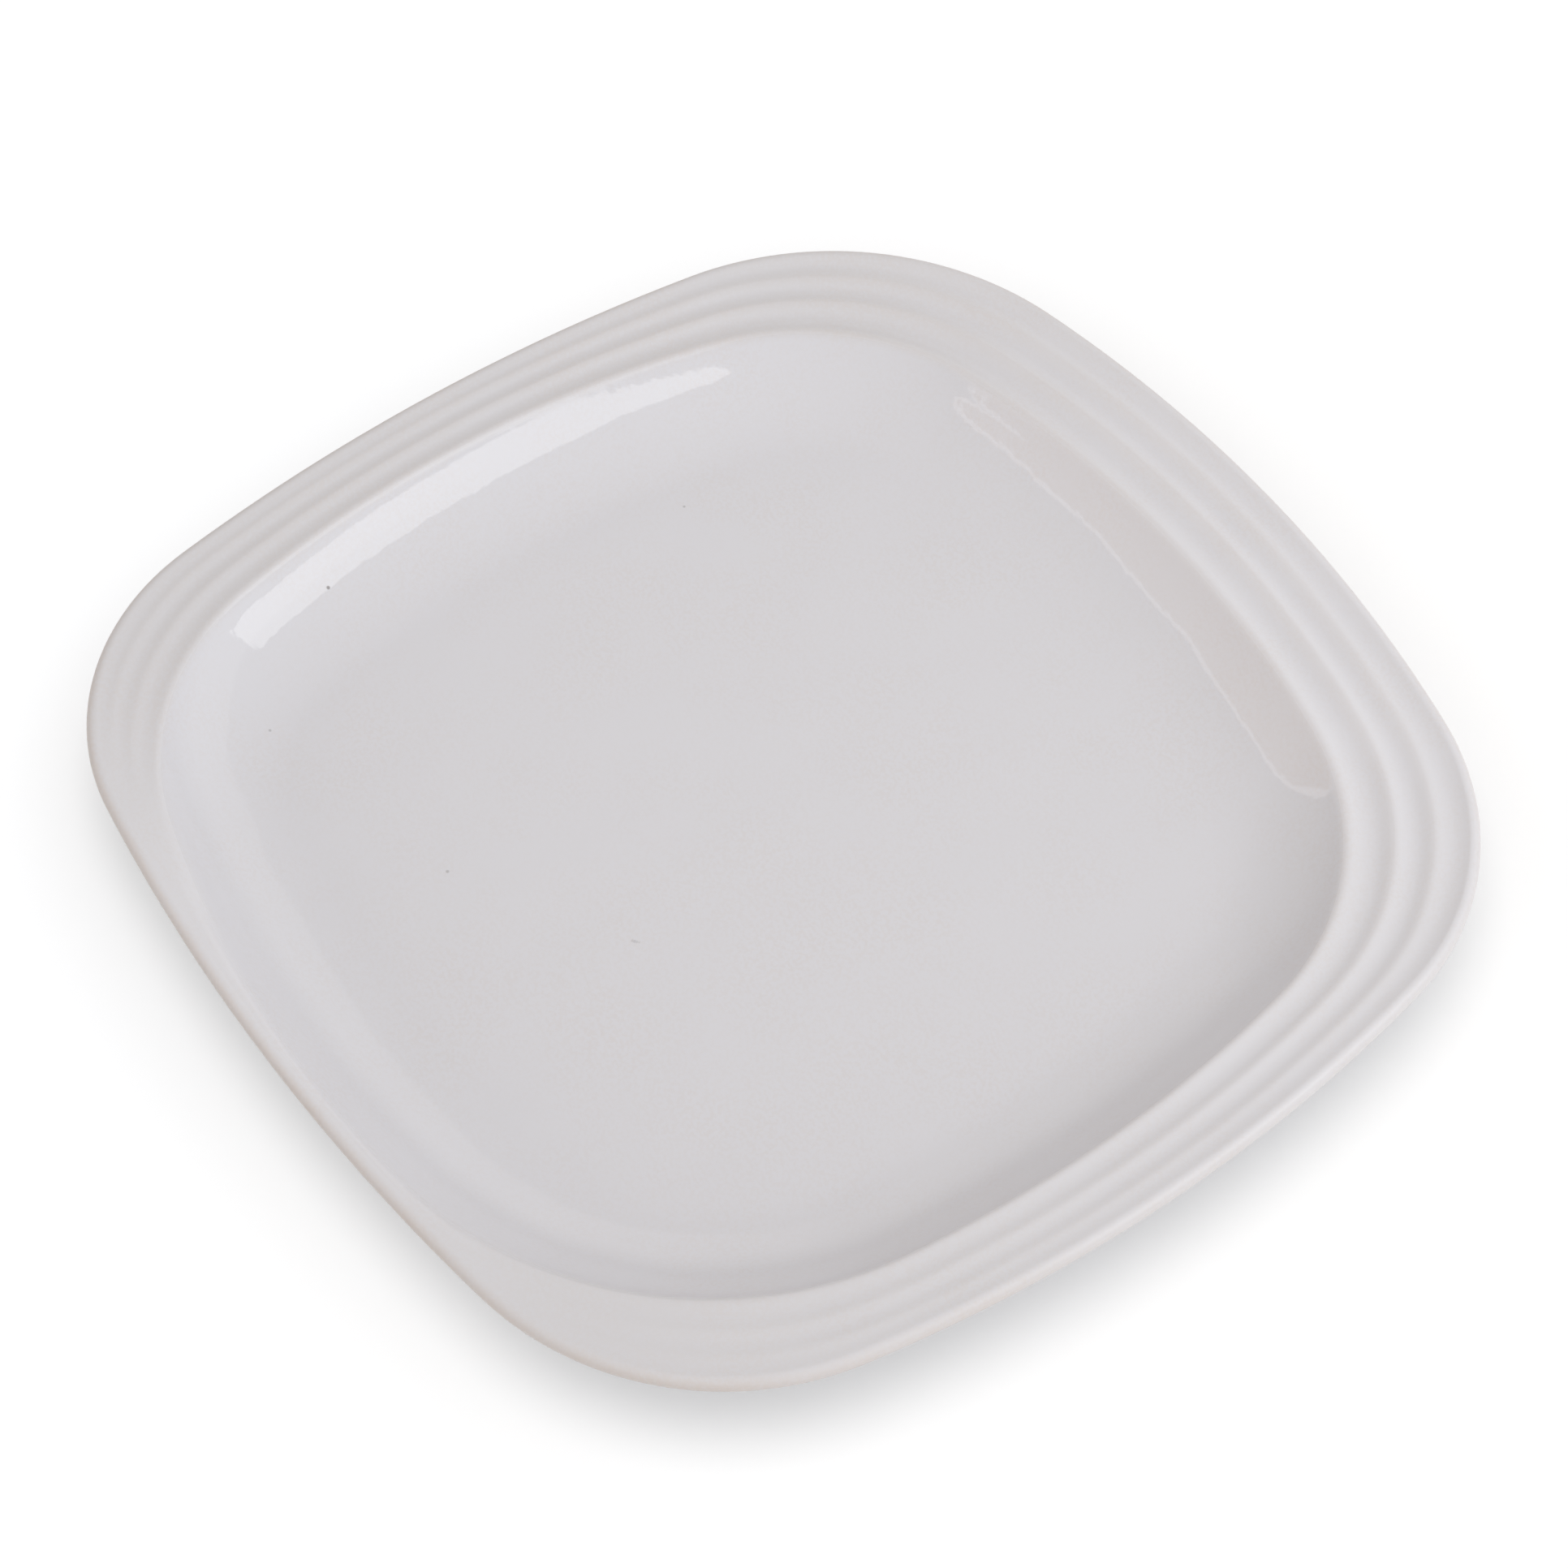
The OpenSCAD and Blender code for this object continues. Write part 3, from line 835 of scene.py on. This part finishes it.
class PLATE_OT_glaze_coat(bpy.types.Operator):
    """Builds the coat of glaze over the well, the flutes, the lip and the outside"""

    bl_idname = "plate.glaze_coat"
    bl_label = "Glaze coat"

    def execute(self, context):
        s = context.scene.plate_sizes
        form = PlateForm(s)
        ripple = sum(height * np.sin(count * form.turn + phase) for height, count, phase in GLAZE_LINE_RIPPLES)
        line_z = s.glaze_line_h + ripple - ripple.min()
        under = [form.well.ring(form.foot_outer_in, line_z)]
        under += form.underside(0.0, UNDER_WALL_STEPS, np.linspace(0, 1, UNDER_RIM_STEPS)[1:-1])
        face = form.face(0.0)
        hand_waves(face, face_weight(face))
        floor = np.array(form.floor(s.floor_h, np.linspace(FLOOR_JOIN_SHARE, 0, FLOOR_STEPS + 1)[1:-1]))
        hand_waves(floor, 1.0)
        grid = np.concatenate([np.array(under), face, floor])
        lip_end = len(under) + LIP_STEPS
        thin = bend_mask(grid, 1.0, THIN_BEND_R) * CREST_THIN_SHARE * form.flute_depth / FLUTE_DEPTH_SHARE
        lip_turns = np.radians(np.linspace(-90, LIP_INNER_HEADING, LIP_STEPS) - LIP_THIN_HEADING)
        # Painted light: the brown line is painted paler on the side of the lip that the lamps light
        pale = LIP_PAINTED_LIGHT * np.maximum(0.0, np.cos(form.turn - math.radians(LIP_PAINTED_LIGHT_AT))) ** 2
        thin[len(under):lip_end] = LIP_THIN * np.outer(np.maximum(0.0, np.cos(lip_turns)) ** 2, 1 - pale)
        # Painted light: the rim's satin is painted paler on these turns, through the thick mask
        thick = sum(
            amount * np.maximum(0.0, np.cos(form.turn - math.radians(at))) ** sharp
            for at, amount, sharp in PAINTED_LIGHT_SATIN
        )
        pooled = bend_mask(grid, -1.0, POOLED_BEND_R)
        satin = np.zeros(thin.shape)
        flutes_end = lip_end + FLUTES * FLUTE_STEPS
        satin[len(under):flutes_end] = 1.0
        satin[flutes_end:flutes_end + len(SATIN_FADE)] = SATIN_FADE
        inner = [form.well.ring(form.foot_outer_in + s.glaze_t, line_z)]
        inner += form.underside(s.glaze_t, HIDDEN_WALL_STEPS, HIDDEN_RIM_SHARES)
        inner += hidden_face(form, s.glaze_t)
        hidden = np.zeros(len(inner) * STOPS)
        obj = lofted(
            "glaze_coat",
            form.centre(s.floor_h - s.glaze_t),
            inner[::-1] + list(grid),
            form.centre(s.floor_h),
            {
                "thin": point_values(hidden, thin.ravel()),
                "pooled": point_values(hidden, pooled.ravel()),
                "satin": point_values(hidden, satin.ravel()),
                "thick": point_values(hidden, np.tile(thick, len(grid))),
            },
        )
        looks = context.scene.plate_looks
        dress(obj, glaze_material("Grey glaze", looks, COAT_MASKS, COAT_MOTTLE, COAT_BUMP_H))
        return {"FINISHED"}


class PLATE_OT_clay_body(bpy.types.Operator):
    """Builds the pressed clay body with its bare, ground foot ring"""

    bl_idname = "plate.clay_body"
    bl_label = "Clay body"

    def execute(self, context):
        s = context.scene.plate_sizes
        form = PlateForm(s)
        t = s.glaze_t
        recess_z = s.foot_h + t
        outer = form.foot_outer_in + t
        inner = form.foot_inner_in
        c = s.foot_chamfer
        rounding = np.linspace(0, math.pi / 2, FOOT_EDGE_STEPS)
        rings = [form.well.ring(inner, recess_z)]
        rings += [form.well.ring(inner - c * (1 - math.cos(a)), c * (1 - math.sin(a))) for a in rounding]
        rings += [form.well.ring(inner - c - s.foot_w * share, 0.0) for share in FOOT_FACE_SHARES]
        rings += [form.well.ring(outer + c * (1 - math.sin(a)), c * (1 - math.cos(a))) for a in rounding]
        ground = np.zeros((len(rings), STOPS))
        ground[FOOT_EDGE_STEPS:FOOT_EDGE_STEPS + len(FOOT_FACE_SHARES) + 2] = 1.0
        body = [form.well.ring(outer, s.glaze_line_h)]
        body += form.underside(t, HIDDEN_WALL_STEPS, HIDDEN_RIM_SHARES)
        body += hidden_face(form, t)
        obj = lofted(
            "clay_body",
            form.centre(recess_z),
            rings + body,
            form.centre(s.floor_h - t),
            {"ground": point_values(ground.ravel(), np.zeros(len(body) * STOPS))},
        )
        dress(obj, clay_material(context.scene.plate_looks))
        return {"FINISHED"}


class PLATE_OT_recess_glaze(bpy.types.Operator):
    """Builds the patch of glaze in the recess inside the foot ring"""

    bl_idname = "plate.recess_glaze"
    bl_label = "Recess glaze"

    def execute(self, context):
        s = context.scene.plate_sizes
        form = PlateForm(s)
        inner = form.foot_inner_in
        low = s.foot_h
        high = s.foot_h + s.glaze_t
        start = form.well.ring(inner, low)
        middle = form.centre(low)
        rings = [middle + (start - middle) * share for share in RECESS_SHARES]
        rings.append(form.well.ring(inner, high))
        obj = lofted("recess_glaze", form.centre(low), rings, form.centre(high))
        looks = context.scene.plate_looks
        dress(obj, glaze_material("Recess glaze", looks, (), RECESS_MOTTLE, RECESS_BUMP_H))
        return {"FINISHED"}


def looking_at(place, target, roll=0.0):
    """Matrix for a camera or lamp at a place that looks at a target."""
    back = (Vector(place) - Vector(target)).normalized()
    right = Vector((0, 0, 1)).cross(back).normalized()
    up = back.cross(right)
    turned = Matrix((right, up, back)).transposed() @ Matrix.Rotation(roll, 3, "Z")
    return Matrix.Translation(place) @ turned.to_4x4()


def table_sheet():
    """Flat square sheet for the table, just under the foot."""
    mesh = bpy.data.meshes.new("table")
    edge = np.linspace(-TABLE_HALF_W, TABLE_HALF_W, TABLE_STEPS + 1)
    n = TABLE_STEPS + 1
    faces = [
        (j * n + i, j * n + i + 1, (j + 1) * n + i + 1, (j + 1) * n + i)
        for j in range(TABLE_STEPS) for i in range(TABLE_STEPS)
    ]
    mesh.from_pydata([(x, y, 0.0) for y in edge for x in edge], [], faces)
    mesh.materials.append(table_material())
    obj = bpy.data.objects.new("table", mesh)
    bpy.context.scene.collection.objects.link(obj)
    obj.matrix_world = Matrix.Translation((0.0, 0.0, -TABLE_GAP))
    return obj


def table_material():
    """White table that keeps the plate's shadow, with painted light and painted shade by side in the light it throws
    on the plate. It is clear from below and under the recess.
    """
    material, made, shader = surface("White table")
    material.node_tree.nodes.remove(shader)
    out = material.node_tree.nodes["Material Output"]
    seen = made.seen()
    paper = made.add("ShaderNodeBsdfDiffuse")
    across = made.add("ShaderNodeVectorMath", operation="NORMALIZE")
    made.link(made.place(), across.inputs[0])
    side = made.add("ShaderNodeVectorMath", operation="DOT_PRODUCT")
    made.link(across.outputs[0], side.inputs[0])
    side.inputs[1].default_value = TABLE_PAINTED_LIGHT_SIDE
    # What lights the plate from the table is painted light: darker away from the lamps, lighter towards them
    painted_bounce = made.mix(made.span(side.outputs["Value"], -0.6, 0.8, 0.0, 1.0), rgba(TABLE_PAINTED_SHADE), rgba(TABLE_PAINTED_LIGHT))
    # Whites seen by the camera, tinted by side to cancel the tint of the room light in the plate's shadow
    white = made.mix(made.span(side.outputs["Value"], -1.0, 1.0, 0.0, 1.0), rgba(PAPER_LEFT), rgba(PAPER_RIGHT))
    made.link(made.mix(seen, painted_bounce, white), paper.inputs["Color"])
    glow = made.add("ShaderNodeEmission")
    made.link(made.math("MULTIPLY", seen, TABLE_GLOW), glow.inputs["Strength"])
    both = made.add("ShaderNodeAddShader")
    made.link(paper.outputs[0], both.inputs[0])
    made.link(glow.outputs[0], both.inputs[1])
    off = made.add("ShaderNodeVectorMath", operation="SUBTRACT")
    made.link(made.place(), off.inputs[0])
    off.inputs[1].default_value = RECESS_MIDDLE
    squared = made.add("ShaderNodeVectorMath", operation="MULTIPLY")
    fourth = made.add("ShaderNodeVectorMath", operation="DOT_PRODUCT")
    for socket in squared.inputs[:2]:
        made.link(off.outputs[0], socket)
    for socket in fourth.inputs[:2]:
        made.link(squared.outputs[0], socket)
    inside = made.math("LESS_THAN", fourth.outputs["Value"], RECESS_LIT_W ** 4)
    below = made.add("ShaderNodeNewGeometry").outputs["Backfacing"]
    either = made.add("ShaderNodeMixShader")
    made.link(made.math("MAXIMUM", below, inside), either.inputs[0])
    made.link(both.outputs[0], either.inputs[1])
    made.link(made.add("ShaderNodeBsdfTransparent").outputs[0], either.inputs[2])
    made.link(either.outputs[0], out.inputs["Surface"])
    return material


def glowing(name, mirrored, lighting):
    """Glow with one colour where the glaze mirrors it and another for the light that it throws."""
    material, made, shader = surface(name)
    material.node_tree.nodes.remove(shader)
    rays = made.add("ShaderNodeLightPath")
    glow = made.add("ShaderNodeEmission")
    made.link(made.mix(rays.outputs["Is Glossy Ray"], rgba(lighting), rgba(mirrored)), glow.inputs["Color"])
    made.link(glow.outputs[0], material.node_tree.nodes["Material Output"].inputs["Surface"])
    return material


def card_sheet():
    """Warm grey card with a pale edge, seen only as a reflection in the wall of the well."""
    edge = [Vector(p) for p in CARD_OUTLINE]
    n = len(edge)
    along = [(edge[(i + 1) % n] - edge[i - 1]).normalized() for i in range(n)]
    inner = [p + Vector((v.y, -v.x)) * CARD_EDGE_W for p, v in zip(edge, along)]
    mesh = bpy.data.meshes.new("card")
    mesh.from_pydata(
        [(p.x, p.y, 0.0) for p in edge + inner],
        [],
        [(i, (i + 1) % n, n + (i + 1) % n, n + i) for i in range(n)] + [tuple(range(n, 2 * n))],
    )
    mesh.materials.append(glowing("Pale edge", CARD_EDGE_MIRRORED, CARD_LIGHT))
    mesh.materials.append(glowing("Grey card", CARD_MIRRORED, CARD_LIGHT))
    mesh.polygons[n].material_index = 1
    obj = bpy.data.objects.new("card", mesh)
    bpy.context.scene.collection.objects.link(obj)
    obj.matrix_world = looking_at(CARD_AT, MIDDLE)
    obj.visible_camera = False
    obj.visible_shadow = False


def room_light(scene, level):
    """Even white room for what the glaze mirrors; a little uneven and tinted for what lights it."""
    world = scene.world or bpy.data.worlds.new("Room")
    scene.world = world
    world.use_nodes = True
    made = Nodes(world.node_tree)
    split = made.add("ShaderNodeSeparateXYZ")
    made.link(made.add("ShaderNodeTexCoord").outputs["Generated"], split.inputs[0])
    right, back, up = split.outputs
    lit = tuple(level * tint for tint in ROOM_TINT)
    for amount, tint in ((right, ROOM_RIGHT), (back, ROOM_BACK), (made.math("MULTIPLY", back, back), ROOM_ACROSS)):
        add = made.add("ShaderNodeVectorMath", operation="MULTIPLY_ADD")
        made.link(amount, add.inputs[0])
        add.inputs[1].default_value = tint
        made.link(lit, add.inputs[2])
        lit = add.outputs[0]
    below = made.span(up, WINDOW_TOP + WINDOW_BLUR, WINDOW_TOP - WINDOW_BLUR, 0.0, WINDOW_GLOW)
    window = made.math("MULTIPLY", below, made.span(back, *WINDOW_BACK, 0.0, 1.0))
    window = made.math("MULTIPLY", window, made.span(up, 0.0, HORIZON_TOP, 0.0, 1.0))
    walls = made.math("ADD", window, made.span(up, 0.0, HORIZON_TOP, HORIZON_GLOW, 1.0))
    glossy = made.add("ShaderNodeLightPath").outputs["Is Glossy Ray"]
    mirrored = made.math("MULTIPLY_ADD", made.math("SUBTRACT", walls, 1.0), glossy, c=1.0)
    grey = made.add("ShaderNodeCombineColor")
    for socket in grey.inputs[:3]:
        made.link(mirrored, socket)
    room = world.node_tree.nodes["Background"]
    made.link(made.mix(made.seen(), lit, grey.outputs[0]), room.inputs["Color"])
    room.inputs["Strength"].default_value = 1.0


def area_lamp(name, place, size, radiance):
    """Rectangular lamp that faces the middle of the plate, with the brightness of its face given."""
    lamp = bpy.data.lights.new(name, "AREA")
    lamp.shape = "RECTANGLE"
    lamp.size, lamp.size_y = size
    lamp.energy = radiance * math.pi * size[0] * size[1]
    obj = bpy.data.objects.new(name, lamp)
    bpy.context.scene.collection.objects.link(obj)
    obj.matrix_world = looking_at(place, MIDDLE)
    return obj


def light_only(lamp, objects):
    """Keeps a lamp's light to these objects."""
    lit = bpy.data.collections.new("lit by " + lamp.name)
    for obj in objects:
        lit.objects.link(obj)
    lamp.light_linking.receiver_collection = lit


class PLATE_OT_studio(bpy.types.Operator):
    """Sets up the table, the softbox, the card, the even room light and the camera"""

    bl_idname = "plate.studio"
    bl_label = "Studio"

    def execute(self, context):
        scene = context.scene
        st = scene.plate_studio
        lip_z = scene.plate_sizes.plate_h - scene.plate_sizes.lip_r
        table = table_sheet()
        room_light(scene, st.world_light)

        pieces = [bpy.data.objects[name] for name in NODE_OF if name in bpy.data.objects]
        softbox = area_lamp("softbox", SOFTBOX_AT, SOFTBOX_SIZE, st.softbox_light)
        softbox.data.color = KEY_TINT
        spill = area_lamp("spill", SPILL_AT, SPILL_SIZE, SPILL_RADIANCE)
        spill.data.color = KEY_TINT
        spill.visible_glossy = False
        light_only(softbox, pieces)
        light_only(spill, pieces)
        overhead = bpy.data.lights.new("overhead", "SUN")
        overhead.angle = OVERHEAD_SPREAD
        overhead.energy = OVERHEAD_ENERGY
        overhead.color = ROOM_TINT
        top = bpy.data.objects.new("overhead", overhead)
        top.rotation_euler = OVERHEAD_TILT
        scene.collection.objects.link(top)
        light_only(top, [table])

        card_sheet()

        camera = bpy.data.cameras.new("camera")
        camera.sensor_width = SENSOR_W
        camera.sensor_fit = "HORIZONTAL"
        camera.lens = st.focal_px / PHOTO_SIDE * SENSOR_W
        camera.shift_x = -st.shift_px[0] / PHOTO_SIDE
        camera.shift_y = st.shift_px[1] / PHOTO_SIDE
        eye = bpy.data.objects.new("camera", camera)
        scene.collection.objects.link(eye)
        flat = math.cos(st.camera_rise)
        back = Vector((
            math.sin(st.camera_turn) * flat, -math.cos(st.camera_turn) * flat, math.sin(st.camera_rise),
        ))
        target = Vector((0.0, 0.0, lip_z))
        eye.matrix_world = looking_at(target + back * st.camera_far, target, st.camera_roll)
        scene.camera = eye
        scene.view_settings.view_transform = "Standard"
        return {"FINISHED"}


class VIEW3D_PT_square_plate(bpy.types.Panel):
    """Lists the plate's pieces, sizes and colours"""

    bl_label = "Square plate"
    bl_space_type = "VIEW_3D"
    bl_region_type = "UI"
    bl_category = "Plate"

    def draw(self, context):
        for operator in OPERATORS:
            self.layout.operator(operator.bl_idname)
        for group in (context.scene.plate_sizes, context.scene.plate_looks, context.scene.plate_studio):
            for key in group.__annotations__:
                self.layout.prop(group, key)


OPERATORS = (PLATE_OT_glaze_coat, PLATE_OT_clay_body, PLATE_OT_recess_glaze, PLATE_OT_studio)
GROUPS = (("plate_sizes", PlateSizes), ("plate_looks", GlazeLooks), ("plate_studio", StudioSetup))


def register():
    for key, group in GROUPS:
        bpy.utils.register_class(group)
        setattr(bpy.types.Scene, key, PointerProperty(type=group))
    for cls in OPERATORS + (VIEW3D_PT_square_plate,):
        bpy.utils.register_class(cls)


def unregister():
    for cls in (VIEW3D_PT_square_plate,) + OPERATORS[::-1]:
        bpy.utils.unregister_class(cls)
    for key, group in GROUPS[::-1]:
        delattr(bpy.types.Scene, key)
        bpy.utils.unregister_class(group)


def main():
    register()
    bpy.ops.plate.glaze_coat()
    bpy.ops.plate.clay_body()
    bpy.ops.plate.recess_glaze()
    bpy.ops.plate.studio()


if __name__ == "__main__":
    main()
